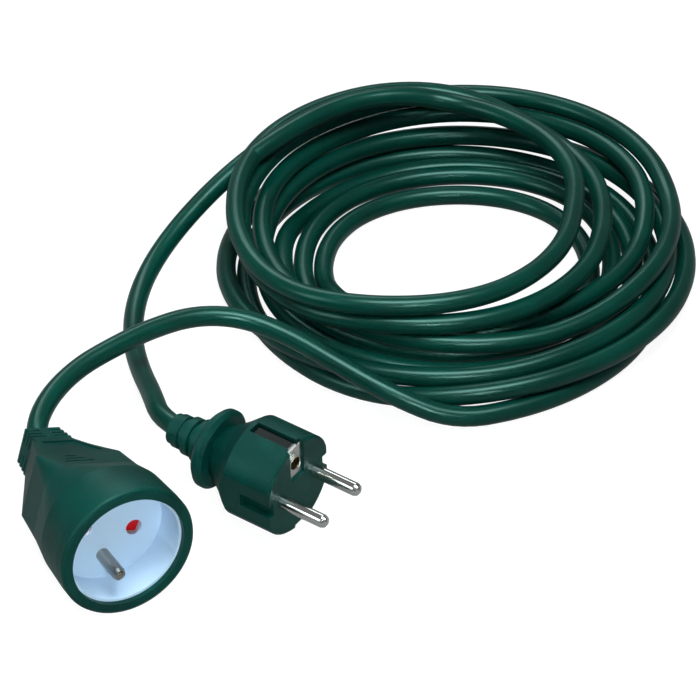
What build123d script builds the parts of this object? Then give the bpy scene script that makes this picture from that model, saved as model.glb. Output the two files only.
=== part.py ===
"""Extension cord: a type E trailing socket, a loose coil of round cord and a CEE 7/7 plug.

Millimetres, +Z up. The origin is on the floor below the middle of the socket,
and the socket's recess opens towards -Y.
"""

from build123d import *
import math
import os

os.makedirs("parts", exist_ok=True)

# ---------------------------------------------------------------- driving sizes
# cord
cord_d = 7.4  # outer diameter of the round sheath
core_d = 2.3  # one insulated core
core_spread = 1.4  # distance of a core from the cord's axis where the sheath starts
conductor_gap = 0.05  # between a core and the barrel it is crimped in

# fits
fit_gap = 0.1  # between moulded-in or nested pieces
slide_gap = 0.3  # between the shutter and what guides it

# contact layout of the CEE 7 system
contact_offset = 9.5  # each line contact from the centre
earth_offset = 10.0  # the earth contact from the line of the two others
pin_d = 4.8  # every pin, where it stands free
pin_root_r = 2.2  # a pin's thinner shank, held in the plastic
pin_free_gap = 0.1  # from the end of the free part to the face it stands on
line_pin_length = 19.0
earth_pin_length = 14.0

# socket, outside
socket_roll = 16.0  # degrees that the socket has rolled over on the floor
socket_length = 70.0  # rim to the tip of the strain relief
rim_r = 24.4
rim_round = 1.2
rim_band = 5.0  # straight part of the drum behind the rim
belly_depth = 18.0  # how far back the drum stays nearly round
belly_width = 46.4
belly_height = 45.6
belly_corner_r = 21.5
shoulder_depth = 30.0  # where the drum has become a soft rectangle
shoulder_width = 38.0
shoulder_height = 33.0
shoulder_corner_r = 9.0
block_depth = 44.0  # sharp edge where the tapered rear starts
block_width = 32.6
block_height = 24.4
block_corner_cut = 1.0
taper_end = 62.0  # where the tapered rear meets the strain relief
taper_width = 15.0
taper_height = 14.6
grip_depth = 34.0  # first of the grip lines on top of the socket
grip_pitch = 3.2
grip_lengths = (11.0, 7.5, 4.0)
grip_side = -5.0
grip_width = 1.2
grip_cut = 0.6
label_front = 46.5  # bare recess on the tapered top
label_rear = 58.5
label_width_front = 22.0
label_width_rear = 12.0
label_cut = 0.5

# socket, strain relief
relief_rib = 1.3
relief_pitch = 2.25
relief_ribs = 4
relief_width = 14.8
relief_height = 14.6
relief_shrink = 0.5  # each rib is narrower than the one before by this
relief_core = 11.0  # square core between the ribs
relief_web = 3.6  # web in the middle of each side, across the ribs

# socket, recess and liner
recess_r = 19.6
recess_depth = 15.0
mouth_r = 20.5  # inner edge of the green rim
mouth_step = 2.0  # from the rim back to the liner's front edge
liner_wall = 1.6
liner_floor = 1.4
chamber_width = 33.0  # box behind the liner's floor that houses the shutter
chamber_height = 32.4
chamber_corner_r = 7.0
chamber_wall = 1.0
chamber_back = 27.0
contact_hole_r = 2.9

# shutter
shutter_width = 24.8
shutter_below = 3.3  # lower edge below the contacts' line
shutter_above = 3.6
shutter_thickness = 4.0
shutter_ramp = 1.4  # how far the slanted front falls back at its lower edge
shutter_land = 0.6  # straight strip above the slant
shutter_travel = 6.0
guide_wall = 1.2  # rail on each side of the shutter
guide_above = 11.0

# return spring of the shutter
spring_r = 1.6  # to the middle of the wire
spring_wire = 0.5
spring_turns = 5
spring_seat = 0.3  # clear at each end
spring_ledge = 13.6  # lower face of the ledge above the contacts' line
spring_ledge_height = 1.4
spring_ledge_width = 8.0

# contacts and their carrier
carrier_depth_gap = 0.5  # behind the shutter
carrier_thickness = 5.0
contact_r = 3.3
contact_bore_r = 2.55
contact_length = 14.0
contact_slit = 0.8
crimp_r = 1.9
crimp_length = 5.0
contact_collar_r = 3.9
contact_collar = 1.0
contact_floor = 1.5  # closed rear of a contact tube
earth_collar_r = 4.2
earth_collar = 1.5
earth_root = 26.8  # where the earth pin narrows to its crimp barrel
earth_crimp_end = 33.0
wiring_rooms = (  # width, lower side, upper side and rear end of each step of the room
    (27.0, -12.1, 9.0, 40.0),
    (27.0, -8.2, 8.2, 45.0),
    (20.0, -5.0, 5.0, 52.0),
)
core_in_barrel = 2.0  # how far a core reaches into its crimp barrel
core_bend = 2.2  # from the barrel's mouth to the core's bend
sheath_end_socket = 57.5  # the sheath starts this far behind the rim

# plug, place on the floor
plug_x = 70.5
plug_y = -22.2
plug_azimuth = 25.7  # degrees from -Y towards +X
plug_pitch = -2.6
plug_roll = -6.0

# plug, outside
plug_body_r = 18.4
plug_body_length = 19.2
plug_neck_r = 14.4
plug_neck_depth = 24.0
plug_flat = 16.6  # distance of each side flat from the centre
plug_edge = 0.8
plug_waist_r = 9.2
plug_waist_depth = 31.5
plug_flange_r = 14.6
plug_flange = 4.6
plug_flange_round = 1.4
groove_width = 5.4
groove_depth = 2.4
groove_length = 12.5
plug_relief_front_r = 8.0
plug_relief_rear_r = 6.2
plug_relief_rib = 2.6
plug_relief_gap = 2.1
plug_relief_core_r = 5.6
plug_relief_ribs = 3
plug_relief_neck = 2.4
sheath_end_plug = 33.0

# plug, inside
bridge_front = 1.9
bridge_back = 16.2
bridge_width = 26.8
bridge_height = 11.0
boss_width = 9.2  # raised part of the bridge that holds the earth tube
boss_top = 14.2
pin_collar_r = 3.4
pin_collar = 2.0
pin_collar_depth = 6.0
pin_root = 16.8
pin_crimp_end = 22.0
clip_width = 4.2
clip_metal = 0.8
clip_slot_width = 5.2
clip_slot_length = 17.8
clip_back = 17.2  # rear face of the link between the two clips
clip_height = 17.2  # outer face of each earth clip from the centre
clip_barrel_height = 5.0  # crimp barrel on the link, above the pins' line
clip_barrel = 4.6
plate_width = 7.6
plate_low = 4.0  # lower edge of the face plate above the pins' line
plate_depth = 0.9  # outer face of the plate behind the plug's face
earth_tube_r = 3.2
earth_bore_r = 2.5
plug_room_r = 12.6
plug_room_back = 23.5
plug_room_end = 31.5
sheath_end_plug = 40.5

# coil
coil_x = 197.0
coil_y = 91.0
coil_start_r = 95.0
coil_pitch = 16.0  # how far the spiral moves in or out in one turn
coil_layer_gap = 0.8  # clear height between two layers
coil_start_angle = -90.0
coil_reversals = (2.5, 4.5, 7.0)  # turns after which the spiral turns round
coil_turns = 9.5

# free stretches of the cord, corner points of the route
cord_floor = cord_d / 2 + 0.005  # height of the cord's axis where it lies down
coil_lift = 0.06  # the coil lies this much higher, so the socket's lead is what carries that side
lead_end_run = 18.0  # straight run where a lead meets the coil
socket_lead_inner = [
    (0.0, 41.0, 24.4),
    (8.2, 57.0, 26.0),
    (22.8, 67.6, 28.5),
    (41.8, 71.0, 30.5),
    (62.0, 71.0, 31.0),
    (82.0, 69.0, 30.0),
    (98.5, 60.0, 27.0),
    (110.5, 44.5, 22.5),
    (121.5, 27.5, 17.0),
    (134.5, 11.5, 11.0),
    (151.0, -1.5, 5.8),
]
plug_lead_inner = [
    (152.0, 169.5, 32.0),
    (134.0, 157.0, 33.0),
    (114.5, 148.0, 28.0),
    (96.0, 138.5, 20.0),
    (80.0, 125.0, 13.0),
    (68.0, 108.0, 9.5),
    (58.5, 89.0, 9.5),
    (51.5, 69.0, 13.5),
    (45.5, 49.5, 18.8),
]
plug_lead_exit = 58.5  # depth behind the plug's face where the lead starts to bend


# ---------------------------------------------------------------- helpers
def end_plane(face_point, azimuth, pitch, roll):
    """Plane on the front face of an end piece: Z out of the face, Y towards its top."""
    az, tilt, turn = map(math.radians, (azimuth, pitch, roll))
    forward = Vector(
        math.sin(az) * math.cos(tilt), -math.cos(az) * math.cos(tilt), math.sin(tilt)
    )
    side = forward.cross(Vector(0, 0, 1)).normalized()
    up = side.cross(forward)
    x_dir = (side * math.cos(turn) + up * math.sin(turn)) * -1
    return Plane(origin=face_point, x_dir=x_dir, z_dir=forward)


def behind(plane, depth):
    """The same plane moved back into the piece by depth."""
    return plane.offset(-depth)


def lengthwise(plane):
    """Plane through the axis of an end piece: X sideways, Y forwards."""
    return Plane(origin=plane.origin, x_dir=plane.x_dir, z_dir=plane.y_dir * -1)


def upright(plane, side=0.0):
    """Plane through the axis of an end piece: X towards its top, Y forwards."""
    origin = plane.origin + plane.x_dir * side
    return Plane(origin=origin, x_dir=plane.y_dir, z_dir=plane.x_dir)


def place(plane, x, y, depth):
    """Point at x, y and depth behind the face, in the part's own frame."""
    return plane.origin + plane.x_dir * x + plane.y_dir * y - plane.z_dir * depth


def turned(plane, points, x=0.0, y=0.0, mode=Mode.ADD):
    """Solid of revolution about the axis at x, y; points are (radius, depth)."""
    centre = Plane(origin=place(plane, x, y, 0), x_dir=plane.x_dir, z_dir=plane.z_dir)
    with BuildSketch(lengthwise(centre)) as profile:
        with BuildLine():
            Polyline([(r, -depth) for r, depth in points], close=True)
        make_face()
    revolve(profile.sketch, axis=Axis(centre.origin, centre.z_dir), mode=mode)


def bar(plane, width, height, start, end, x=0.0, y=0.0, mode=Mode.ADD):
    """Rectangular block centred at x, y, from depth start back to depth end."""
    with BuildSketch(behind(plane, end)) as section:
        with Locations((x, y)):
            Rectangle(width, height)
    extrude(section.sketch, amount=end - start, mode=mode)


def rod(plane, radius, start, end, x=0.0, y=0.0, mode=Mode.ADD):
    """Round bar centred at x, y, from depth start back to depth end."""
    with BuildSketch(behind(plane, end)) as section:
        with Locations((x, y)):
            Circle(radius)
    extrude(section.sketch, amount=end - start, mode=mode)


def corner_radii(points):
    """Arc radius at each inner point: 0.45 of the shorter run over tan of half the turn."""
    radii = []
    for before, here, after in zip(points, points[1:], points[2:]):
        run_in = Vector(here) - Vector(before)
        run_out = Vector(after) - Vector(here)
        half_turn = math.radians(run_in.get_angle(run_out)) / 2
        radii.append(0.45 * min(run_in.length, run_out.length) / math.tan(half_turn))
    return radii


def route_tube(points, diameter, name):
    """Round tube along straight runs joined by tangent arcs, added to the open part."""
    radii = corner_radii(points)
    with BuildLine() as route:
        FilletPolyline(*points, radius=radii)
    path = route.wire()
    start = Vector(points[0])
    with BuildSketch(Plane(origin=start, z_dir=Vector(points[1]) - start)) as section:
        Circle(diameter / 2)
    sweep(section.sketch, path=path)
    print(name, "length", round(path.length, 1), "radii", [round(r) for r in radii])
    return path.length


def finish(part, label):
    """Label a finished piece and write it."""
    part.label = label
    export_step(part, f"parts/{label}.step")


# ---------------------------------------------------------------- the two ends
socket = end_plane(Vector(0, -socket_length / 2, rim_r), 0, 0, socket_roll)
plug_z = plug_body_r * math.cos(math.radians(plug_pitch)) - 0.02
plug = end_plane(Vector(plug_x, plug_y, plug_z), plug_azimuth, plug_pitch, plug_roll)

liner_outer_r = recess_r + liner_wall
floor_back = recess_depth + liner_floor
shutter_front = floor_back + slide_gap
shutter_back = shutter_front + shutter_thickness
carrier_front = shutter_back + carrier_depth_gap
carrier_back = carrier_front + carrier_thickness
contact_front = carrier_front + 0.4
contact_back = contact_front + contact_length
crimp_back = contact_back + crimp_length
cord_bore_r = cord_d / 2 + fit_gap
pin_r = pin_d / 2
barrel_bore_r = core_d / 2 + conductor_gap


# ---------------------------------------------------------------- socket over-moulding
def soft_rectangle(plane, width, height, corner):
    """Rounded rectangle on a plane, as a loft section."""
    with BuildSketch(plane) as section:
        RectangleRounded(width, height, corner)
    return section.sketch


def facet_height(depth, front, front_height, rear, rear_height):
    """Height of the top slope above the axis at a depth between two sections."""
    share = (depth - front) / (rear - front)
    return (front_height + (rear_height - front_height) * share) / 2


def socket_ribs(plane):
    """Square ribs of the socket's strain relief, tied by a web on each side."""
    bar(plane, relief_core, relief_core, taper_end - 1, socket_length)
    for index in range(relief_ribs):
        shrink = relief_shrink * index
        width = relief_width - shrink
        height = relief_height - shrink
        back = socket_length - relief_pitch * (relief_ribs - 1 - index)
        bar(plane, width, height, back - relief_rib, back)
        gap_front = back - relief_pitch
        bar(plane, relief_web, height, gap_front, back - relief_rib)
        bar(plane, width, relief_web, gap_front, back - relief_rib)


with BuildPart() as socket_body:
    # rim and the straight band behind it
    turned(
        socket,
        [
            (0, 0),
            (rim_r - rim_round, 0),
            (rim_r - rim_round * 0.3, rim_round * 0.3),
            (rim_r, rim_round),
            (rim_r, rim_band),
            (0, rim_band),
        ],
    )
    # drum that turns from round to a soft rectangle, then to the sharp block edge
    band_side = 2 * rim_r - 0.2
    sections = [
        soft_rectangle(behind(socket, rim_band), band_side, band_side, rim_r - 0.4),
        soft_rectangle(behind(socket, belly_depth), belly_width, belly_height, belly_corner_r),
        soft_rectangle(
            behind(socket, shoulder_depth), shoulder_width, shoulder_height, shoulder_corner_r
        ),
        soft_rectangle(
            behind(socket, block_depth), block_width, block_height, block_corner_cut
        ),
        soft_rectangle(behind(socket, taper_end), taper_width, taper_height, block_corner_cut),
    ]
    for front_section, rear_section in zip(sections, sections[1:]):
        loft([front_section, rear_section], ruled=True)
    socket_ribs(socket)
    # mouth, seat of the liner and its chamber
    rod(socket, mouth_r, 0, mouth_step, mode=Mode.SUBTRACT)
    seat_back = floor_back + fit_gap
    rod(socket, liner_outer_r + fit_gap, mouth_step, seat_back, mode=Mode.SUBTRACT)
    chamber_seat = soft_rectangle(
        behind(socket, chamber_back + fit_gap),
        chamber_width + 2 * fit_gap,
        chamber_height + 2 * fit_gap,
        chamber_corner_r + fit_gap,
    )
    extrude(chamber_seat, amount=chamber_back - floor_back, mode=Mode.SUBTRACT)
    # wiring room in steps, then the cord's way out
    room_front = chamber_back
    for room_width, room_low, room_high, room_back in wiring_rooms:
        bar(
            socket,
            room_width,
            room_high - room_low,
            room_front,
            room_back,
            y=(room_high + room_low) / 2,
            mode=Mode.SUBTRACT,
        )
        room_front = room_back
    rod(socket, cord_bore_r, room_front, socket_length, mode=Mode.SUBTRACT)
    # grip lines of falling length on the top slope
    for index, grip_length in enumerate(grip_lengths):
        grip_at = grip_depth + grip_pitch * index
        grip_top = facet_height(grip_at, shoulder_depth, shoulder_height, block_depth, block_height)
        bar(
            socket,
            grip_length,
            2 * grip_cut,
            grip_at,
            grip_at + grip_width,
            x=grip_side,
            y=grip_top,
            mode=Mode.SUBTRACT,
        )
    # bare label recess sunk in the tapered top
    label_sections = []
    for label_at, label_width in (
        (label_front, label_width_front),
        (label_rear, label_width_rear),
    ):
        label_top = facet_height(label_at, block_depth, block_height, taper_end, taper_height)
        with BuildSketch(behind(socket, label_at), mode=Mode.PRIVATE) as label_section:
            with Locations((0, label_top - label_cut + 1)):
                Rectangle(label_width, 2)
        label_sections.append(label_section.sketch)
    loft(label_sections, ruled=True, mode=Mode.SUBTRACT)
print("socket_body", socket_body.part.volume, len(socket_body.part.solids()))
finish(socket_body.part, "socket_body")


# ---------------------------------------------------------------- socket liner
with BuildPart() as socket_insert:
    turned(
        socket,
        [
            (recess_r, mouth_step),
            (liner_outer_r, mouth_step),
            (liner_outer_r, floor_back),
            (0, floor_back),
            (0, recess_depth),
            (recess_r, recess_depth),
        ],
    )
    # chamber behind the floor
    chamber = soft_rectangle(
        behind(socket, chamber_back), chamber_width, chamber_height, chamber_corner_r
    )
    extrude(chamber, amount=chamber_back - floor_back)
    chamber_room = soft_rectangle(
        behind(socket, chamber_back),
        chamber_width - 2 * chamber_wall,
        chamber_height - 2 * chamber_wall,
        chamber_corner_r - chamber_wall,
    )
    extrude(chamber_room, amount=chamber_back - floor_back, mode=Mode.SUBTRACT)
    # rails that keep the shutter straight
    guide_x = shutter_width / 2 + slide_gap + guide_wall / 2
    guide_low = -shutter_below
    for side in (-1, 1):
        bar(
            socket,
            guide_wall,
            guide_above - guide_low,
            floor_back,
            carrier_front - fit_gap,
            x=side * guide_x,
            y=(guide_above + guide_low) / 2,
        )
    # openings for the two line pins and the socket's own earth pin
    for side in (-1, 1):
        rod(
            socket,
            contact_hole_r,
            recess_depth,
            floor_back,
            x=side * contact_offset,
            mode=Mode.SUBTRACT,
        )
    rod(
        socket,
        pin_root_r + fit_gap,
        recess_depth,
        floor_back,
        y=-earth_offset,
        mode=Mode.SUBTRACT,
    )
finish(socket_insert.part, "socket_insert")


# ---------------------------------------------------------------- shutter and its spring
with BuildPart() as socket_shutter:
    with BuildSketch(upright(socket)) as shutter_section:
        with BuildLine():
            Polyline(
                (-shutter_below, -shutter_front - shutter_ramp),
                (shutter_above - shutter_land, -shutter_front),
                (shutter_above, -shutter_front),
                (shutter_above, -shutter_back),
                (-shutter_below, -shutter_back),
                close=True,
            )
        make_face()
    extrude(amount=shutter_width / 2, both=True)
finish(socket_shutter.part, "socket_shutter")

spring_depth = (shutter_front + shutter_back) / 2
spring_low = shutter_above + spring_seat + spring_wire / 2
spring_high = spring_ledge - spring_seat - spring_wire / 2
spring_height = spring_high - spring_low

with BuildPart() as shutter_spring:
    with BuildLine() as coil_wire:
        Helix(
            pitch=spring_height / spring_turns,
            height=spring_height,
            radius=spring_r,
            center=place(socket, 0, spring_low, spring_depth),
            direction=socket.y_dir,
        )
    wire_path = coil_wire.wire()
    with BuildSketch(Plane(origin=wire_path @ 0, z_dir=wire_path % 0)):
        Circle(spring_wire / 2)
    sweep(path=wire_path, is_frenet=True)
finish(shutter_spring.part, "shutter_spring")


# ---------------------------------------------------------------- contacts of the socket
with BuildPart() as contact_carrier:
    carrier_plate = soft_rectangle(
        behind(socket, carrier_back),
        chamber_width - 2 * chamber_wall - 2 * fit_gap,
        chamber_height - 2 * chamber_wall - 2 * fit_gap,
        chamber_corner_r - chamber_wall - fit_gap,
    )
    extrude(carrier_plate, amount=carrier_thickness)
    # ledge that the shutter's spring pushes against
    bar(
        socket,
        spring_ledge_width,
        spring_ledge_height,
        floor_back + slide_gap,
        carrier_front,
        y=spring_ledge + spring_ledge_height / 2,
    )
    for side in (-1, 1):
        rod(
            socket,
            contact_r + fit_gap,
            carrier_front,
            carrier_back,
            x=side * contact_offset,
            mode=Mode.SUBTRACT,
        )
    rod(
        socket,
        pin_root_r + fit_gap,
        carrier_front,
        carrier_back,
        y=-earth_offset,
        mode=Mode.SUBTRACT,
    )
finish(contact_carrier.part, "contact_carrier")


def contact_tube(x):
    """Sprung tube with a collar behind the carrier and a crimp barrel at its rear."""
    collar_front = carrier_back + fit_gap
    turned(
        socket,
        [
            (contact_bore_r, contact_front),
            (contact_r, contact_front),
            (contact_r, collar_front),
            (contact_collar_r, collar_front),
            (contact_collar_r, collar_front + contact_collar),
            (contact_r, collar_front + contact_collar),
            (contact_r, contact_back),
            (crimp_r, contact_back),
            (crimp_r, crimp_back),
            (barrel_bore_r, crimp_back),
            (barrel_bore_r, contact_back + 0.5),
            (0, contact_back + 0.5),
            (0, contact_back - contact_floor),
            (contact_bore_r, contact_back - contact_floor),
        ],
        x=x,
    )
    slit_back = contact_back - 2 * contact_floor
    slit_height = 2 * contact_r + 1
    slit_front = collar_front + contact_collar + 0.5
    bar(socket, contact_slit, slit_height, slit_front, slit_back, x=x, mode=Mode.SUBTRACT)


with BuildPart() as socket_line_contact:
    contact_tube(contact_offset)
finish(socket_line_contact.part, "socket_line_contact")

with BuildPart() as socket_neutral_contact:
    contact_tube(-contact_offset)
finish(socket_neutral_contact.part, "socket_neutral_contact")

earth_tip = recess_depth - earth_pin_length
earth_collar_front = floor_back + fit_gap


def pin_tip(tip):
    """Rounded tip of a contact pin as (radius, depth) points."""
    return [(0, tip), (0.9, tip), (1.9, tip + 0.6), (pin_r, tip + 1.8)]


with BuildPart() as socket_earth_pin:
    turned(
        socket,
        pin_tip(earth_tip)
        + [
            (pin_r, recess_depth - pin_free_gap),
            (pin_root_r, recess_depth - pin_free_gap),
            (pin_root_r, earth_collar_front),
            (earth_collar_r, earth_collar_front),
            (earth_collar_r, earth_collar_front + earth_collar),
            (pin_root_r, earth_collar_front + earth_collar),
            (pin_root_r, earth_root),
            (crimp_r, earth_root),
            (crimp_r, earth_crimp_end),
            (barrel_bore_r, earth_crimp_end),
            (barrel_bore_r, earth_root + 0.5),
            (0, earth_root + 0.5),
        ],
        y=-earth_offset,
    )
finish(socket_earth_pin.part, "socket_earth_pin")


# ---------------------------------------------------------------- insulated cores
core_seats = {
    "line": (core_spread * math.cos(math.radians(30)), core_spread * 0.5),
    "neutral": (-core_spread * math.cos(math.radians(30)), core_spread * 0.5),
    "earth": (0.0, -core_spread),
}


def core_tube(plane, kind, x, y, mouth, meet, sheath, name, flip=1):
    """One core from its barrel's mouth at x, y to its place where the sheath starts."""
    seat_x, seat_y = core_seats[kind]
    points = [
        place(plane, x, y, mouth - core_in_barrel),
        place(plane, x, y, mouth + core_bend),
        place(plane, seat_x, flip * seat_y, meet),
        place(plane, seat_x, flip * seat_y, sheath - fit_gap),
    ]
    route_tube([tuple(point) for point in points], core_d, name)


room_end = wiring_rooms[-1][-1]
with BuildPart() as socket_line_core:
    core_tube(
        socket,
        "line",
        contact_offset,
        0,
        crimp_back,
        room_end,
        sheath_end_socket,
        "socket_line_core",
    )
finish(socket_line_core.part, "socket_line_core")

with BuildPart() as socket_neutral_core:
    core_tube(
        socket,
        "neutral",
        -contact_offset,
        0,
        crimp_back,
        room_end,
        sheath_end_socket,
        "socket_neutral_core",
    )
finish(socket_neutral_core.part, "socket_neutral_core")

with BuildPart() as socket_earth_core:
    core_tube(
        socket,
        "earth",
        0,
        -earth_offset,
        earth_crimp_end,
        earth_crimp_end + 13.0,
        sheath_end_socket,
        "socket_earth_core",
    )
finish(socket_earth_core.part, "socket_earth_core")


# ---------------------------------------------------------------- plug over-moulding
relief_front = plug_waist_depth + plug_flange
slot_floor = clip_height - clip_metal - fit_gap
bridge_seat_back = bridge_back + fit_gap


def bridge_shape(plane, front, back, gap, mode=Mode.ADD):
    """The bridge's block and raised boss, grown by gap on each side."""
    bar(plane, bridge_width + 2 * gap, bridge_height + 2 * gap, front, back, mode=mode)
    boss_low = bridge_height / 2 - 1
    bar(
        plane,
        boss_width + 2 * gap,
        boss_top - boss_low + gap,
        front,
        back,
        y=(boss_top + gap + boss_low) / 2,
        mode=mode,
    )


with BuildPart() as plug_body:
    # drum, neck, waist and finger flange
    turned(
        plug,
        [
            (0, 0),
            (plug_body_r - plug_edge, 0),
            (plug_body_r, plug_edge),
            (plug_body_r, plug_body_length),
            (plug_neck_r, plug_neck_depth),
            (plug_waist_r, plug_waist_depth),
            (plug_flange_r - plug_flange_round, plug_waist_depth),
            (plug_flange_r, plug_waist_depth + plug_flange_round),
            (plug_flange_r, relief_front - plug_flange_round),
            (plug_flange_r - plug_flange_round, relief_front),
            (0, relief_front),
        ],
    )
    # strain relief of rings on a thin core
    relief_step = plug_relief_rib + plug_relief_gap
    relief_tip = relief_front + plug_relief_neck + plug_relief_ribs * relief_step
    rod(plug, plug_relief_core_r, relief_front - 1, relief_tip)
    for index in range(plug_relief_ribs):
        share = index / (plug_relief_ribs - 1)
        ring_r = plug_relief_front_r + (plug_relief_rear_r - plug_relief_front_r) * share
        ring_front = relief_front + plug_relief_neck + index * relief_step
        rod(plug, ring_r, ring_front, ring_front + plug_relief_rib)
    for side in (-1, 1):
        # flat on each side of the drum, with its guide groove
        waste = plug_body_r - plug_flat
        bar(
            plug,
            waste,
            2 * plug_body_r,
            0,
            plug_neck_depth,
            x=side * (plug_flat + waste / 2),
            mode=Mode.SUBTRACT,
        )
        bar(
            plug,
            groove_depth,
            groove_width,
            0,
            groove_length,
            x=side * (plug_flat - groove_depth / 2),
            mode=Mode.SUBTRACT,
        )
        # slot of each earth clip
        slot_rise = plug_body_r + 1 - slot_floor
        bar(
            plug,
            clip_slot_width,
            slot_rise,
            0,
            clip_slot_length,
            y=side * (slot_floor + slot_rise / 2),
            mode=Mode.SUBTRACT,
        )
        rod(
            plug,
            pin_root_r + fit_gap,
            0,
            bridge_front,
            x=side * contact_offset,
            mode=Mode.SUBTRACT,
        )
    # recess of the face plate
    plate_gap_low = plate_low - fit_gap
    plate_rise = plug_body_r + 1 - plate_gap_low
    bar(
        plug,
        plate_width + 2 * fit_gap,
        plate_rise,
        0,
        bridge_front,
        y=plate_gap_low + plate_rise / 2,
        mode=Mode.SUBTRACT,
    )
    # seat of the bridge and of the link between the clips
    bridge_shape(plug, bridge_front - fit_gap, bridge_seat_back, fit_gap, mode=Mode.SUBTRACT)
    bar(
        plug,
        clip_slot_width,
        2 * plug_body_r + 2,
        clip_back - clip_metal - fit_gap,
        clip_slot_length,
        mode=Mode.SUBTRACT,
    )
    # wiring room and the cord's way out
    turned(
        plug,
        [
            (0, bridge_seat_back),
            (plug_room_r, bridge_seat_back),
            (plug_room_r, plug_room_back),
            (cord_bore_r, plug_room_end),
            (cord_bore_r, relief_tip + 1),
            (0, relief_tip + 1),
        ],
        mode=Mode.SUBTRACT,
    )
print("plug_body", plug_body.part.volume, len(plug_body.part.solids()))
finish(plug_body.part, "plug_body")


# ---------------------------------------------------------------- inside the plug
with BuildPart() as plug_bridge:
    bridge_shape(plug, bridge_front, bridge_back, 0)
    for side in (-1, 1):
        pin_x = side * contact_offset
        rod(plug, pin_root_r + fit_gap, bridge_front, bridge_back, x=pin_x, mode=Mode.SUBTRACT)
        rod(
            plug,
            pin_collar_r + fit_gap,
            pin_collar_depth - fit_gap,
            pin_collar_depth + pin_collar + fit_gap,
            x=pin_x,
            mode=Mode.SUBTRACT,
        )
    rod(
        plug,
        earth_tube_r + fit_gap,
        bridge_front,
        bridge_back,
        y=earth_offset,
        mode=Mode.SUBTRACT,
    )
finish(plug_bridge.part, "plug_bridge")


def line_pin(x):
    """Solid line pin with a collar held in the bridge and a crimp barrel."""
    turned(
        plug,
        pin_tip(-line_pin_length)
        + [
            (pin_r, -pin_free_gap),
            (pin_root_r, -pin_free_gap),
            (pin_root_r, pin_collar_depth),
            (pin_collar_r, pin_collar_depth),
            (pin_collar_r, pin_collar_depth + pin_collar),
            (pin_root_r, pin_collar_depth + pin_collar),
            (pin_root_r, pin_root),
            (crimp_r, pin_root),
            (crimp_r, pin_crimp_end),
            (barrel_bore_r, pin_crimp_end),
            (barrel_bore_r, pin_root + 0.7),
            (0, pin_root + 0.7),
        ],
        x=x,
    )


with BuildPart() as plug_line_pin:
    line_pin(-contact_offset)
finish(plug_line_pin.part, "plug_line_pin")

with BuildPart() as plug_neutral_pin:
    line_pin(contact_offset)
finish(plug_neutral_pin.part, "plug_neutral_pin")

with BuildPart() as earth_clip:
    leg_middle = clip_height - clip_metal / 2
    # top clip, link behind the bridge and bottom clip
    bar(plug, clip_width, clip_metal, plate_depth, clip_back, y=leg_middle)
    bar(plug, clip_width, 2 * clip_height, clip_back - clip_metal, clip_back)
    bar(plug, clip_width, clip_metal, plate_depth, clip_back, y=-leg_middle)
    # face plate round the earth hole
    plate_height = clip_height - plate_low
    bar(
        plug,
        plate_width,
        plate_height,
        plate_depth,
        plate_depth + clip_metal,
        y=plate_low + plate_height / 2,
    )
    rod(
        plug,
        earth_bore_r,
        plate_depth,
        plate_depth + clip_metal,
        y=earth_offset,
        mode=Mode.SUBTRACT,
    )
    # crimp barrel for the earth core
    barrel_back = clip_back + clip_barrel
    rod(plug, crimp_r, clip_back - 0.1, barrel_back, y=clip_barrel_height)
    rod(
        plug,
        barrel_bore_r,
        clip_back + 0.4,
        barrel_back,
        y=clip_barrel_height,
        mode=Mode.SUBTRACT,
    )
finish(earth_clip.part, "earth_clip")

earth_tube_front = plate_depth + clip_metal + fit_gap
earth_tube_back = clip_back - clip_metal - 2 * fit_gap

with BuildPart() as earth_contact:
    turned(
        plug,
        [
            (earth_bore_r, earth_tube_front),
            (earth_tube_r, earth_tube_front),
            (earth_tube_r, earth_tube_back),
            (0, earth_tube_back),
            (0, earth_tube_back - 0.8),
            (earth_bore_r, earth_tube_back - 0.8),
        ],
        y=earth_offset,
    )
finish(earth_contact.part, "earth_contact")

with BuildPart() as plug_line_core:
    core_tube(
        plug,
        "neutral",
        -contact_offset,
        0,
        pin_crimp_end,
        plug_room_end - 0.5,
        sheath_end_plug,
        "plug_line_core",
        flip=-1,
    )
finish(plug_line_core.part, "plug_line_core")

with BuildPart() as plug_neutral_core:
    core_tube(
        plug,
        "line",
        contact_offset,
        0,
        pin_crimp_end,
        plug_room_end - 0.5,
        sheath_end_plug,
        "plug_neutral_core",
        flip=-1,
    )
finish(plug_neutral_core.part, "plug_neutral_core")

with BuildPart() as plug_earth_core:
    core_tube(
        plug,
        "earth",
        0,
        clip_barrel_height,
        barrel_back,
        plug_room_end,
        sheath_end_plug,
        "plug_earth_core",
        flip=-1,
    )
finish(plug_earth_core.part, "plug_earth_core")


# ---------------------------------------------------------------- coil of the cord
def coil_radius(turn):
    """Radius after so many turns: in and out at a steady rate."""
    radius = coil_start_r
    direction = -1
    done = 0.0
    for stop in (*coil_reversals, coil_turns):
        radius += direction * coil_pitch * max(0.0, min(turn, stop) - done)
        done = stop
        direction = -direction
    return radius


def coil_height(turn):
    """Height of the axis: one layer up in the half turn about each reversal."""
    height = cord_floor + coil_lift
    for stop in coil_reversals:
        share = min(1.0, max(0.0, (turn - stop + 0.25) / 0.5))
        height += (cord_d + coil_layer_gap) * share * share * (3 - 2 * share)
    return height


def coil_point(turn):
    """Point of the cord's axis after so many turns."""
    angle = math.radians(coil_start_angle + 360 * turn)
    radius = coil_radius(turn)
    return Vector(
        coil_x + radius * math.cos(angle),
        coil_y + radius * math.sin(angle),
        coil_height(turn),
    )


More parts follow.
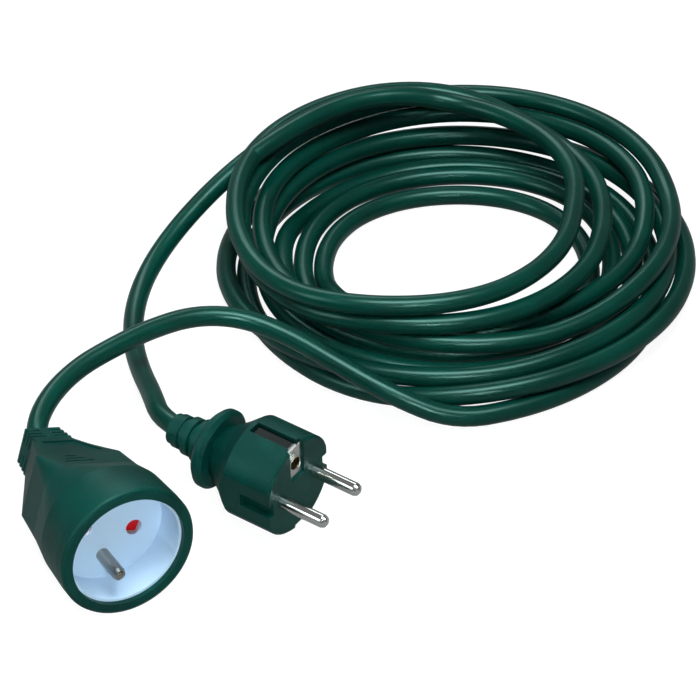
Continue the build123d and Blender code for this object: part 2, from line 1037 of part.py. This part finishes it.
def coil_direction(turn):
    """Unit direction of the cord's axis after so many turns."""
    before = max(0.0, turn - 0.01)
    after = min(coil_turns, turn + 0.01)
    if before == 0.0 or after == coil_turns:
        angle = math.radians(coil_start_angle + 360 * turn)
        sign = -1 if turn == 0 else 1
        rate = sign * coil_pitch / (2 * math.pi)
        radius = coil_radius(turn)
        return Vector(
            rate * math.cos(angle) - radius * math.sin(angle),
            rate * math.sin(angle) + radius * math.cos(angle),
            0,
        ).normalized()
    return (coil_point(after) - coil_point(before)).normalized()


def arc_middle(start, direction, end):
    """Middle of the arc that leaves start along direction and reaches end."""
    chord = end - start
    along = chord.normalized()
    aside = direction - along * direction.dot(along)
    half_angle = math.radians(direction.get_angle(chord)) / 2
    sagitta = chord.length / 2 * math.tan(half_angle)
    return (start + end) * 0.5 + aside.normalized() * sagitta


def biarc_joint(start, first, end, last):
    """Point where two arcs meet that join start to end with the given directions."""
    chord = end - start
    total = first + last
    spread = 2 * (1 - first.dot(last))
    root = math.sqrt(chord.dot(total) ** 2 + spread * chord.dot(chord))
    reach = (root - chord.dot(total)) / spread
    return (start + end + (first - last) * reach) * 0.5


coil_start = coil_point(0)
coil_end = coil_point(coil_turns)
coil_entry = coil_start - coil_direction(0) * cord_d
coil_exit = coil_end + coil_direction(coil_turns) * cord_d
quarter_turns = round(coil_turns * 4)

with BuildPart() as coil:
    with BuildLine() as coil_axis:
        Line(coil_entry, coil_start)
        for quarter in range(quarter_turns):
            here = coil_point(quarter / 4)
            there = coil_point((quarter + 1) / 4)
            leave = coil_direction(quarter / 4)
            arrive = coil_direction((quarter + 1) / 4)
            joint = biarc_joint(here, leave, there, arrive)
            ThreePointArc(here, arc_middle(here, leave, joint), joint)
            ThreePointArc(joint, arc_middle(there, -arrive, joint), there)
        Line(coil_end, coil_exit)
    coil_path = coil_axis.wire()
    with BuildSketch(Plane(origin=coil_entry, z_dir=coil_direction(0))):
        Circle(cord_d / 2)
    sweep(path=coil_path)

# least gap of the coil's tube to itself, on points along its axis
gap_steps = round(coil_path.length / 3.0)
gap_points = [coil_path @ (step / gap_steps) for step in range(gap_steps + 1)]
step_length = coil_path.length / gap_steps
near_steps = math.ceil(6 * cord_d / step_length)
least_gap = min(
    (gap_points[i] - gap_points[j]).length
    for i in range(gap_steps + 1)
    for j in range(i + near_steps, gap_steps + 1)
)
section = math.pi * cord_d**2 / 4
print("coil length", round(coil_path.length), "turns", coil_turns)
print("coil least gap to itself", round(least_gap - cord_d, 2))
print("coil volume / (section x length)", round(coil.part.volume / section / coil_path.length, 4))
finish(coil.part, "coil")


# ---------------------------------------------------------------- leads of the cord
socket_lead_points = (
    [tuple(place(socket, 0, 0, sheath_end_socket))]
    + socket_lead_inner
    + [
        tuple(coil_entry - coil_direction(0) * lead_end_run - Vector(0, 0, coil_lift)),
        tuple(coil_entry - Vector(0, 0, coil_lift)),
    ]
)
with BuildPart() as lead_to_socket:
    socket_lead = route_tube(socket_lead_points, cord_d, "lead_to_socket")
print("volume / (section x length)", round(lead_to_socket.part.volume / section / socket_lead, 4))
finish(lead_to_socket.part, "lead_to_socket")

plug_lead_points = (
    [tuple(coil_exit), tuple(coil_exit + coil_direction(coil_turns) * lead_end_run)]
    + plug_lead_inner
    + [
        tuple(place(plug, 0, 0, plug_lead_exit)),
        tuple(place(plug, 0, 0, sheath_end_plug)),
    ]
)
with BuildPart() as lead_to_plug:
    plug_lead = route_tube(plug_lead_points, cord_d, "lead_to_plug")
print("volume / (section x length)", round(lead_to_plug.part.volume / section / plug_lead, 4))
finish(lead_to_plug.part, "lead_to_plug")
print("cord length in all", round(socket_lead + coil_path.length + plug_lead))
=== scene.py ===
# %% [markdown]
# An extension cord lies on a pale floor: a trailing socket with its earth pin,
# a loose coil of green PVC cable and an earthed plug. The imported CAD model is
# the fixed frame, in metres, and every CAD node stays where it is. This script
# adds the cable at its real length, a stand-in copy of the return spring, the
# finishes, the floor and the light.

import math

import bpy
import numpy as np
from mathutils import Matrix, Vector


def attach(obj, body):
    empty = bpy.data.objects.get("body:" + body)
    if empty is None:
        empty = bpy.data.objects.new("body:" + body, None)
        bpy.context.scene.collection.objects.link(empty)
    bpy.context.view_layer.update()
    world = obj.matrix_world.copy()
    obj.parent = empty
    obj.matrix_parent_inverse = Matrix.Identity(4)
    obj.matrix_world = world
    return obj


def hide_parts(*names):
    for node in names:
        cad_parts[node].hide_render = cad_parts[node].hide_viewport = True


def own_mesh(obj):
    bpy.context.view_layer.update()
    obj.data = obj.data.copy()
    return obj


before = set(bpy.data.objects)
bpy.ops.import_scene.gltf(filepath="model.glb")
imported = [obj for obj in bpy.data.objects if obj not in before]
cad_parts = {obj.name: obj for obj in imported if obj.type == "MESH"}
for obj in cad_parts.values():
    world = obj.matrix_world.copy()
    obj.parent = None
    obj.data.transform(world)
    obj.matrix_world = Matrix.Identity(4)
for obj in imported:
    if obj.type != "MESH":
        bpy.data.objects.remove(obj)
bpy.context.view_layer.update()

MM = 0.001


def mm(*values):
    """A point given in millimetres, as a vector in metres."""
    return Vector([value * MM for value in values])


# %% [markdown]
# The camera stands low over the floor on the socket's side, far away with a
# long lens, so the coil keeps its flat oval outline.

# %% Camera
camera_target = mm(138.4, 64.2, 0)
camera_distance = 1.5
lens_mm = 211.4
sensor_mm = 36
farthest_seen = 20  # metres, well past the floor's far edge
camera_elevation = math.radians(34.5)
camera_azimuth = math.radians(28.94)
away = Vector(
    (
        -math.sin(camera_azimuth) * math.cos(camera_elevation),
        -math.cos(camera_azimuth) * math.cos(camera_elevation),
        math.sin(camera_elevation),
    )
)
bpy.ops.object.camera_add(location=camera_target + away * camera_distance)
camera = bpy.context.object
camera.rotation_euler = (-away).to_track_quat("-Z", "Y").to_euler()
camera.data.lens = lens_mm
camera.data.sensor_width = sensor_mm
camera.data.clip_end = farthest_seen
bpy.context.scene.camera = camera
print("camera at", [round(value, 3) for value in camera.location])

# %% [markdown]
# The cable is one length of round PVC cable, so it is one smooth NURBS spline
# with a round bevel, from the socket's strain relief through the coil to the
# plug. The leads are routes of a few points. The coil was wound by hand, so its
# turns differ: the first six spiral inwards on the floor, and the rest lie
# loosely on top of them, pushed towards the far side. The list says how far each
# turn reaches from the coil's middle in eight directions: near, near-right,
# right, far-right, far, far-left, left and near-left.

# %% Routes of the leads and the reach of each turn
cable_diameter = 7.4
floor_height = cable_diameter / 2
coil_middle = Vector((195.0, 90.0))
first_angle = -118.94  # degrees, the direction of the coil's near side
directions = 8  # places round a turn where its reach is given
points_per_turn = 24
steps_per_point = 4  # the heights are found in finer steps than the points
socket_lead = [
    (0.0, 22.5, 24.4),
    (0.0, 34.5, 24.4),
    (4.0, 45.0, 25.6),
    (15.0, 56.0, 27.4),
    (29.0, 63.5, 29.2),
    (44.0, 67.0, 30.6),
    (61.0, 70.5, 31.0),
    (79.0, 71.5, 30.4),
    (95.0, 65.5, 28.0),
    (107.5, 51.5, 24.0),
    (117.5, 34.5, 18.5),
    (130.0, 16.5, 11.5),
]
turn_reaches = [
    (99.5, 87, 77, 80, 80, 76, 76, 83.5),
    (92.5, 90, 89, 90.5, 90.5, 85.5, 84, 86.5),
    (86, 83.5, 82, 84, 82.5, 75.5, 70, 75),
    (77, 74, 69, 72, 69, 65, 62.4, 67),
    (67, 65, 61, 63.5, 59.5, 57, 54.8, 59),
    (58.5, 57, 53, 54, 50, 48.5, 47.2, 51.5),
    (58.5, 62, 72, 87, 88, 79, 70, 69),
    (71, 75.5, 83, 92.5, 93, 84, 78, 77),
    (69, 60, 57, 69, 86, 85, 80, 80),
    (66, 51, 46, 59, 78),
]
plug_lead = [
    (217.0, 163.5, 33.5),
    (199.0, 168.0, 34.0),
    (180.0, 166.0, 34.0),
    (160.0, 160.0, 33.0),
    (140.0, 155.0, 28.5),
    (121.0, 149.5, 21.5),
    (103.0, 141.5, 14.5),
    (88.0, 130.0, 10.0),
    (75.5, 114.0, 8.8),
    (65.5, 95.0, 9.0),
    (58.5, 74.5, 11.5),
    (52.5, 53.0, 16.5),
    (45.2, 30.5, 21.0),
    (52.95, 14.25, 20.2),
]


# %% Smooth steps between the listed reaches
def between(knots, steps):
    """Values that pass smoothly through the knots, with so many steps a gap."""
    knots = [2 * knots[0] - knots[1], *knots, 2 * knots[-1] - knots[-2]]
    values = []
    for before, start, stop, after in zip(knots, knots[1:], knots[2:], knots[3:]):
        for step in range(steps):
            u = step / steps
            slope = (stop - before) * u
            bend = (2 * before - 5 * start + 4 * stop - after) * u**2
            twist = (3 * start - before - 3 * stop + after) * u**3
            values.append((2 * start + slope + bend + twist) / 2)
    values.append(knots[-2])
    return values


def coil_plan():
    """The coil seen from above, in fine steps."""
    fine_turn = points_per_turn * steps_per_point
    reaches = [float(reach) for turn in turn_reaches for reach in turn]
    plan = []
    for index, reach in enumerate(between(reaches, fine_turn // directions)):
        angle = math.radians(first_angle + 360 * index / fine_turn)
        plan.append(coil_middle + Vector((math.cos(angle), math.sin(angle))) * reach)
    return np.array(plan)


coil_line = coil_plan()
print("turns in the coil", (len(coil_line) - 1) / points_per_turn / steps_per_point)

# %% [markdown]
# The heights are not chosen but found, as the cable finds them: it is laid down
# from the socket's end, and each stretch drops until it rests on the floor or on
# the turns already under it. A cable is too stiff to drop at once, so each place
# where it is held up spreads into a long low hump on both sides.

# %% Lay the coil down turn by turn
clearance = 0.05  # air between two strands that touch
hump_radius = 140.0  # how gently the cable bends down from a place that holds it up
least_way_back = 40.0  # a stretch doesn't rest on the cable just behind it


def lay_down(plan):
    """Height of the cable's middle line at each step of its plan."""
    steps = np.linalg.norm(np.diff(plan, axis=0), axis=1)
    way = np.concatenate([[0.0], np.cumsum(steps)])
    height = np.full(len(plan), floor_height)
    touch = cable_diameter + clearance
    for index in range(1, len(plan)):
        rest = floor_height
        older = np.searchsorted(way, way[index] - least_way_back)
        if older > 1:
            start, stop = plan[: older - 1], plan[1:older]
            run = stop - start
            share = ((plan[index] - start) * run).sum(1) / (run * run).sum(1)
            share = np.clip(share, 0, 1)
            aside = np.linalg.norm(plan[index] - start - run * share[:, None], axis=1)
            below = height[: older - 1] * (1 - share) + height[1:older] * share
            rise = np.sqrt(np.maximum(touch**2 - aside**2, 0))
            rest = max(rest, np.where(aside < touch, below + rise, rest).max())
        drop = (way[index] - way[:index]) ** 2 / (2 * hump_radius)
        height[index] = max(rest, (height[:index] - drop).max())
        height[:index] = np.maximum(height[:index], height[index] - drop)
    return height


coil_height = lay_down(coil_line)
coil_points = [
    (*coil_line[index], coil_height[index])
    for index in range(0, len(coil_line), steps_per_point)
]
route = [mm(*point) for point in socket_lead + coil_points + plug_lead]
highest = round(float(coil_height.max()), 1)
print("coil points", len(coil_points), "highest middle line", highest, "mm")

# %% [markdown]
# The curve gets its thickness from the radius at each point, with a bevel depth
# of one. The other way round, with the thickness in the bevel depth and a radius
# of one at each point, looks the same, but Blender adds a point's radius to the
# curve's box, and the box would be a metre too large on every side. The line is
# measured first, while the curve has no bevel and is nothing but its middle line.

# %% Cable
round_steps = 6  # bevel resolution, enough for a smooth round section
steps_between_points = 6
cable_curve = bpy.data.curves.new("cable", "CURVE")
cable_curve.dimensions = "3D"
cable_spline = cable_curve.splines.new("NURBS")
cable_spline.points.add(len(route) - 1)
for spline_point, place in zip(cable_spline.points, route):
    spline_point.co = (*place, 1)
    spline_point.radius = cable_diameter / 2 * MM
cable_spline.order_u = 3
cable_spline.use_endpoint_u = True
cable_spline.resolution_u = steps_between_points
cable_spline.use_smooth = True
cable = bpy.data.objects.new("cable", cable_curve)
bpy.context.collection.objects.link(cable)


def centreline(curve_object):
    """Points along a curve's own line, read before it has any thickness."""
    mesh = bpy.data.meshes.new_from_object(curve_object)
    points = [vertex.co.copy() for vertex in mesh.vertices]
    bpy.data.meshes.remove(mesh)
    return points


cable_line = centreline(cable)
cable_curve.bevel_depth = 1
cable_curve.bevel_resolution = round_steps
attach(cable, "cord_set")
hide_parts("lead_to_socket", "coil", "lead_to_plug")


# %% [markdown]
# One function turns a colour written as a hex value into the linear numbers a
# shader needs, and one adds a node with its settings and links. Every material
# below is built with these two. Patterns read Object coordinates, because each
# piece has its place in its mesh, and a noise scale of one over a length in
# metres makes patches of about that length.

# %% Helpers for materials
def linear(hex_colour):
    """An sRGB hex colour as linear red, green, blue and alpha."""
    channels = [int(hex_colour[i : i + 2], 16) / 255 for i in (1, 3, 5)]
    return (
        *[c / 12.92 if c <= 0.04045 else ((c + 0.055) / 1.055) ** 2.4 for c in channels],
        1.0,
    )


def add_node(tree, kind, settings=None, values=None, links=None):
    """Adds a node, sets its properties and socket values, and links its inputs."""
    node = tree.nodes.new(kind)
    for name, value in (settings or {}).items():
        setattr(node, name, value)
    for name, value in (values or {}).items():
        node.inputs[name].default_value = value
    for name, (source, output) in (links or {}).items():
        tree.links.new(source.outputs[output], node.inputs[name])
    return node


# %% Start a material and give it to a CAD node
def new_material(name):
    """An empty node material with its surface shader, named for what it is."""
    material = bpy.data.materials.new(name)
    material.use_nodes = True
    tree = material.node_tree
    shader = tree.nodes["Principled BSDF"]
    return material, tree, shader


def coat_node(node_name, material):
    """Gives a CAD node a material of its own."""
    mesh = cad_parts[node_name].data
    mesh.materials.clear()
    mesh.materials.append(material)


# %% [markdown]
# The mouldings and the cable are soft PVC, dyed dark green. Dye never mixes
# quite evenly, so two close greens lie in clouds about 25 mm wide. The sheath is
# drawn through a die, which gives long clean highlights and only a shallow, wide
# orange-peel. The socket and the plug are moulded against a finely blasted
# steel, which gives a satin skin with a finer, deeper grain. A green tint in the
# highlights keeps them from looking chalky on so dark a colour.

# %% PVC
cloud_mm = 25
cloud_edges = (0.35, 0.65)  # where the clouds' darker and lighter greens are reached
sheen_tint = "#b8f0e4"
pvc_ior = 1.53
peel_strength = 0.5


def soft_pvc(name, dark, light, roughness, specular, peel_mm, peel_height_mm):
    """Dyed PVC: two close greens mixed in wide soft clouds, with a fine skin."""
    material, tree, shader = new_material(name)
    place = add_node(tree, "ShaderNodeTexCoord")
    clouds = add_node(
        tree,
        "ShaderNodeTexNoise",
        values={"Scale": 1 / (cloud_mm * MM), "Detail": 2.0},
        links={"Vector": (place, "Object")},
    )
    dye = add_node(tree, "ShaderNodeValToRGB", links={"Fac": (clouds, "Fac")})
    dye.color_ramp.elements[0].position = cloud_edges[0]
    dye.color_ramp.elements[0].color = linear(dark)
    dye.color_ramp.elements[1].position = cloud_edges[1]
    dye.color_ramp.elements[1].color = linear(light)
    peel = add_node(
        tree,
        "ShaderNodeTexNoise",
        values={"Scale": 1 / (peel_mm * MM), "Detail": 3.0},
        links={"Vector": (place, "Object")},
    )
    bump = add_node(
        tree,
        "ShaderNodeBump",
        values={"Strength": peel_strength, "Distance": peel_height_mm * MM},
        links={"Height": (peel, "Fac")},
    )
    tree.links.new(dye.outputs["Color"], shader.inputs["Base Color"])
    tree.links.new(bump.outputs["Normal"], shader.inputs["Normal"])
    shader.inputs["Roughness"].default_value = roughness
    shader.inputs["IOR"].default_value = pvc_ior
    shader.inputs["Specular IOR Level"].default_value = specular
    shader.inputs["Specular Tint"].default_value = linear(sheen_tint)
    return material


# glossy dark green: clean streaks of light along each strand
sheath_pvc = soft_pvc(
    "extruded_pvc_green",
    "#003028",
    "#013c32",
    roughness=0.3,
    specular=0.45,
    peel_mm=1.2,
    peel_height_mm=0.03,
)
# satin dark green: soft wide highlights, broken by the grain
body_pvc = soft_pvc(
    "moulded_pvc_green",
    "#012f2a",
    "#043e37",
    roughness=0.42,
    specular=0.26,
    peel_mm=0.7,
    peel_height_mm=0.3,
)
cable.data.materials.append(sheath_pvc)
coat_node("socket_body", body_pvc)
coat_node("plug_body", body_pvc)
print("PVC", sheath_pvc.name, body_pvc.name)


# %% [markdown]
# The liner, the shutter and the inner carriers are injection-moulded polyamide.
# Polished steel gives them a nearly smooth, half-glossy skin, and the gloss
# changes a little over some 8 mm, as it does on the way from a mould's gate.

# %% Rigid plastic
gate_mm = 8
plastic_ior = 1.5
grain_strength = 0.3
grain_height_mm = 0.01
plastic_gloss = (0.85, 1.15)  # the roughness goes between these shares of its value


def rigid_plastic(name, colour, roughness, grain_mm):
    """Glossy moulded plastic with a nearly smooth skin."""
    material, tree, shader = new_material(name)
    place = add_node(tree, "ShaderNodeTexCoord")
    grain = add_node(
        tree,
        "ShaderNodeTexNoise",
        values={"Scale": 1 / (grain_mm * MM), "Detail": 2.0},
        links={"Vector": (place, "Object")},
    )
    bump = add_node(
        tree,
        "ShaderNodeBump",
        values={"Strength": grain_strength, "Distance": grain_height_mm * MM},
        links={"Height": (grain, "Fac")},
    )
    flow = add_node(
        tree,
        "ShaderNodeTexNoise",
        values={"Scale": 1 / (gate_mm * MM), "Detail": 1.0},
        links={"Vector": (place, "Object")},
    )
    gloss = add_node(
        tree,
        "ShaderNodeMapRange",
        values={
            "To Min": roughness * plastic_gloss[0],
            "To Max": roughness * plastic_gloss[1],
        },
        links={"Value": (flow, "Fac")},
    )
    tree.links.new(bump.outputs["Normal"], shader.inputs["Normal"])
    tree.links.new(gloss.outputs["Result"], shader.inputs["Roughness"])
    shader.inputs["Base Color"].default_value = linear(colour)
    shader.inputs["IOR"].default_value = plastic_ior
    return material


# %% [markdown]
# The pins, the clip and the contacts are brass, turned or stamped, and most of
# them have a thin layer of bright nickel. Fine marks from the tool change the
# gloss a little from place to place. The marks are drawn near half a millimetre
# apart, coarser than real ones, which would be too fine to show. The socket's
# earth pin gets a duller nickel than the plug's pins, with a greyer colour that is
# painted shade, because the pale liner is all round it, and bright nickel would mirror that
# and look pale too.

# %% Metal
metal_gloss = (0.8, 1.3)  # as for the plastic, and wider, because tools leave marks


def drawn_metal(name, colour, roughness, scratch_mm):
    """Metal with fine turning marks that change its gloss a little."""
    material, tree, shader = new_material(name)
    place = add_node(tree, "ShaderNodeTexCoord")
    marks = add_node(
        tree,
        "ShaderNodeTexNoise",
        values={"Scale": 1 / (scratch_mm * MM), "Detail": 4.0},
        links={"Vector": (place, "Object")},
    )
    gloss = add_node(
        tree,
        "ShaderNodeMapRange",
        values={
            "To Min": roughness * metal_gloss[0],
            "To Max": roughness * metal_gloss[1],
        },
        links={"Value": (marks, "Fac")},
    )
    tree.links.new(gloss.outputs["Result"], shader.inputs["Roughness"])
    shader.inputs["Base Color"].default_value = linear(colour)
    shader.inputs["Metallic"].default_value = 1.0
    return material


# pale blue-white and half-glossy: the brightest surface of the object
liner_plastic = rigid_plastic("polyamide_blue_white", "#cde2f9", 0.35, 0.5)
# signal red behind the two contact holes, a little duller
shutter_plastic = rigid_plastic("polyamide_red", "#e00c14", 0.4, 0.5)
# undyed plastic, a warm off-white that is hidden inside
carrier_plastic = rigid_plastic("polyamide_natural", "#d9d5c8", 0.4, 0.5)
# bright, nearly white metal with sharp highlights
nickel = drawn_metal("nickel_plated_brass", "#d9d8d4", 0.16, 0.4)
# the same nickel on a stamped strip, a little less sharp
clip_nickel = drawn_metal("nickel_plated_clip", "#d9d8d4", 0.22, 0.4)
# nickel painted grey as shade, a little duller, with a small bright spot at the tip
shaded_earth_nickel = drawn_metal("nickel_earth_pin_painted_shade", "#a19d97", 0.24, 0.4)
# bare yellow metal, seen only when the shutter is up
bare_brass = drawn_metal("rolled_brass", "#c9a04e", 0.3, 0.5)
# plain grey wire, hidden behind the shutter
spring_steel = drawn_metal("drawn_spring_steel", "#a8a8a6", 0.3, 0.3)
# matt coloured insulation of the three cores, hidden inside the mouldings
core_brown = rigid_plastic("pvc_core_brown", "#5a3216", 0.45, 0.5)
core_blue = rigid_plastic("pvc_core_blue", "#1f4fa8", 0.45, 0.5)
core_earth = rigid_plastic("pvc_core_green_yellow", "#9fbf2e", 0.45, 0.5)
print("nickel finishes", nickel.name, clip_nickel.name, shaded_earth_nickel.name)

# %% [markdown]
# The plug's earth clip is one bent strip. Its face plate is bright, but its arms
# lie at the bottom of grooves, where little light gets in. So a painted shade
# turns the nickel dark over a short way behind the plate, along the plug's axis.
# The distance from the face drives the change, and it could have been a second
# material on the same mesh, but a CAD node is better left undivided.

# %% Painted shade on the clip's arms
def paint_groove_shade(material, face_point, outward, bright_mm, shade_mm, shade_colour):
    """Paints shade into a metal, darker gradually behind a face, where a strip lies deep in
    its groove.
    """
    tree = material.node_tree
    shader = tree.nodes["Principled BSDF"]
    place = add_node(tree, "ShaderNodeTexCoord")
    from_face = add_node(
        tree,
        "ShaderNodeVectorMath",
        {"operation": "SUBTRACT"},
        values={1: face_point},
        links={0: (place, "Object")},
    )
    depth = add_node(
        tree,
        "ShaderNodeVectorMath",
        {"operation": "DOT_PRODUCT"},
        values={1: outward},
        links={0: (from_face, "Vector")},
    )
    fade = add_node(
        tree,
        "ShaderNodeMapRange",
        values={"From Min": -shade_mm * MM, "From Max": -bright_mm * MM},
        links={"Value": (depth, "Value")},
    )
    painted_shade = add_node(tree, "ShaderNodeValToRGB", links={"Fac": (fade, "Result")})
    painted_shade.color_ramp.elements[0].color = linear(shade_colour)
    painted_shade.color_ramp.elements[1].color = shader.inputs["Base Color"].default_value
    tree.links.new(painted_shade.outputs["Color"], shader.inputs["Base Color"])


plug_outward = Vector((0.433213, -0.900149, -0.045363))
earth_hole = mm(66.028, -15.319, 28.686)
hole_to_plate = 8  # mm from the middle of the earth hole's wall to the face plate
clip_front = earth_hole + plug_outward * hole_to_plate * MM
# painted shade: the clip's nickel darkens behind its face plate, down in the grooves
paint_groove_shade(
    clip_nickel,
    clip_front,
    plug_outward,
    bright_mm=0.6,
    shade_mm=2.0,
    shade_colour="#2c2f2e",
)
print("clip face at", [round(value / MM, 1) for value in clip_front], "mm")

# %% [markdown]
# Every shown node gets its finish by name. The hidden pieces get theirs too, so
# that the model is whole when it is cut open or the shutter is lifted.

# %% Finishes of the CAD nodes
node_finishes = {
    "socket_insert": liner_plastic,
    "socket_shutter": shutter_plastic,
    "contact_carrier": carrier_plastic,
    "plug_bridge": carrier_plastic,
    "socket_earth_pin": shaded_earth_nickel,
    "plug_line_pin": nickel,
    "plug_neutral_pin": nickel,
    "earth_clip": clip_nickel,
    "socket_line_contact": bare_brass,
    "socket_neutral_contact": bare_brass,
    "earth_contact": bare_brass,
    "shutter_spring": spring_steel,
    "socket_line_core": core_brown,
    "plug_line_core": core_brown,
    "socket_neutral_core": core_blue,
    "plug_neutral_core": core_blue,
    "socket_earth_core": core_earth,
    "plug_earth_core": core_earth,
}
for node_name, finish in node_finishes.items():
    coat_node(node_name, finish)
print("finished nodes", len(node_finishes) + 2)

# %% [markdown]
# A small coil spring holds the shutter down over the contacts. The plug's pins
# push the shutter up, and the spring has to shorten with it. A CAD node keeps its
# shape, so a merged copy of the spring, with a mesh of its own, stands in for it.
# The nodes of the CAD are loose triangles, so the copy's doubles are merged.

# %% Return spring
merge_distance = 0.001 * MM
spring_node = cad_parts["shutter_spring"]
return_spring = bpy.data.objects.new("return_spring", spring_node.data.copy())
bpy.context.collection.objects.link(return_spring)
bpy.ops.object.select_all(action="DESELECT")
bpy.context.view_layer.objects.active = return_spring
return_spring.select_set(True)
bpy.ops.object.mode_set(mode="EDIT")
bpy.ops.mesh.select_all(action="SELECT")
bpy.ops.mesh.remove_doubles(threshold=merge_distance)
bpy.ops.object.mode_set(mode="OBJECT")
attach(return_spring, "cord_set")
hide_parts("shutter_spring")
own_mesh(return_spring)

# %% [markdown]
# The floor is a wide pale sheet. The camera sees it as white paper because its
# material gives off light to camera rays. Diffuse rays get none of that light, so
# it doesn't brighten the object from below, and a glossy or clear surface mirrors
# only a share of it, because with all of it the dark plastic would lie under a
# grey veil. The floor's base colour is a middle grey, and the lamps' light on that
# grey fades in the object's shadow, so a soft shadow stays.

# %% White for the camera
gloss_share = 0.15  # how much of the white a glossy or clear surface mirrors
paper_glow = 0.93


def studio_white(tree):
    """One to the camera and a share of it to glossy and clear surfaces, else nothing."""
    ray = add_node(tree, "ShaderNodeLightPath")
    mirrored = add_node(
        tree,
        "ShaderNodeMath",
        {"operation": "MAXIMUM"},
        links={0: (ray, "Is Glossy Ray"), 1: (ray, "Is Transmission Ray")},
    )
    dimmed = add_node(
        tree,
        "ShaderNodeMath",
        {"operation": "MULTIPLY"},
        values={1: gloss_share},
        links={0: (mirrored, "Value")},
    )
    return add_node(
        tree,
        "ShaderNodeMath",
        {"operation": "MAXIMUM"},
        links={0: (ray, "Is Camera Ray"), 1: (dimmed, "Value")},
    )


# %% Floor
floor_size = 6  # metres, so that its edge is never seen
paper_grey = "#6a6a6a"
paper_roughness = 0.9
middle = (0.14, 0.07, 0)  # the middle of the object's box on the floor
bpy.ops.object.select_all(action="DESELECT")
bpy.ops.mesh.primitive_plane_add(size=floor_size, location=middle)
floor = bpy.context.object
floor.name = "floor"
bpy.ops.object.transform_apply(location=True, rotation=True, scale=True)
paper, paper_tree, paper_shader = new_material("white_paper")
paper_shader.inputs["Base Color"].default_value = linear(paper_grey)
paper_shader.inputs["Roughness"].default_value = paper_roughness
paper_white = add_node(
    paper_tree,
    "ShaderNodeMath",
    {"operation": "MULTIPLY"},
    values={1: paper_glow},
    links={0: (studio_white(paper_tree), "Value")},
)
paper_shader.inputs["Emission Color"].default_value = (1, 1, 1, 1)
paper_tree.links.new(paper_white.outputs["Value"], paper_shader.inputs["Emission Strength"])
floor.data.materials.append(paper)
print("floor", floor_size, "m wide")

# %% [markdown]
# The world is white to the camera, and gives the object only a faint even light.
# Four soft boxes light it at a plain level: a wide one above and a little in
# front makes the long highlights, one on the left and one behind lift the sides,
# and a small narrow one shines from the left front into the socket's recess,
# which would otherwise lie in its own shadow. A narrow spread concentrates a
# lamp's power, so that one needs very little. The lamps are a touch green-blue,
# a cool daylight.

# %% World
faint_light = 0.04
world = bpy.data.worlds.new("studio")
bpy.context.scene.world = world
world.use_nodes = True
backdrop = world.node_tree.nodes["Background"]
backdrop.inputs["Color"].default_value = (1, 1, 1, 1)
world_level = add_node(
    world.node_tree,
    "ShaderNodeMath",
    {"operation": "MAXIMUM"},
    values={1: faint_light},
    links={0: (studio_white(world.node_tree), "Value")},
)
world.node_tree.links.new(world_level.outputs["Value"], backdrop.inputs["Strength"])


# %% Soft boxes
daylight = (0.86, 0.99, 1.0)


def soft_lamp(name, place, target, width, height, power, spread=180):
    """A rectangular soft box that looks at a target."""
    bpy.ops.object.light_add(type="AREA", location=place)
    lamp = bpy.context.object
    lamp.name = name
    lamp.data.shape = "RECTANGLE"
    lamp.data.size = width
    lamp.data.size_y = height
    lamp.data.energy = power
    lamp.data.spread = math.radians(spread)
    lamp.data.color = daylight
    aim = Vector(target) - Vector(place)
    lamp.rotation_euler = aim.to_track_quat("-Z", "Y").to_euler()


socket_mouth = (0.02, -0.03, 0.02)
soft_lamp("top_box", (0.05, -0.25, 1.15), middle, 0.8, 0.4, 14)
soft_lamp("left_box", (-1.0, 0.1, 0.6), middle, 0.4, 0.5, 3)
soft_lamp("back_box", (0.4, 1.0, 0.9), middle, 0.7, 0.3, 3)
soft_lamp("front_box", (-0.35, -1.1, 0.75), socket_mouth, 0.25, 0.25, 0.14, spread=14)
bpy.context.scene.view_settings.view_transform = "Standard"
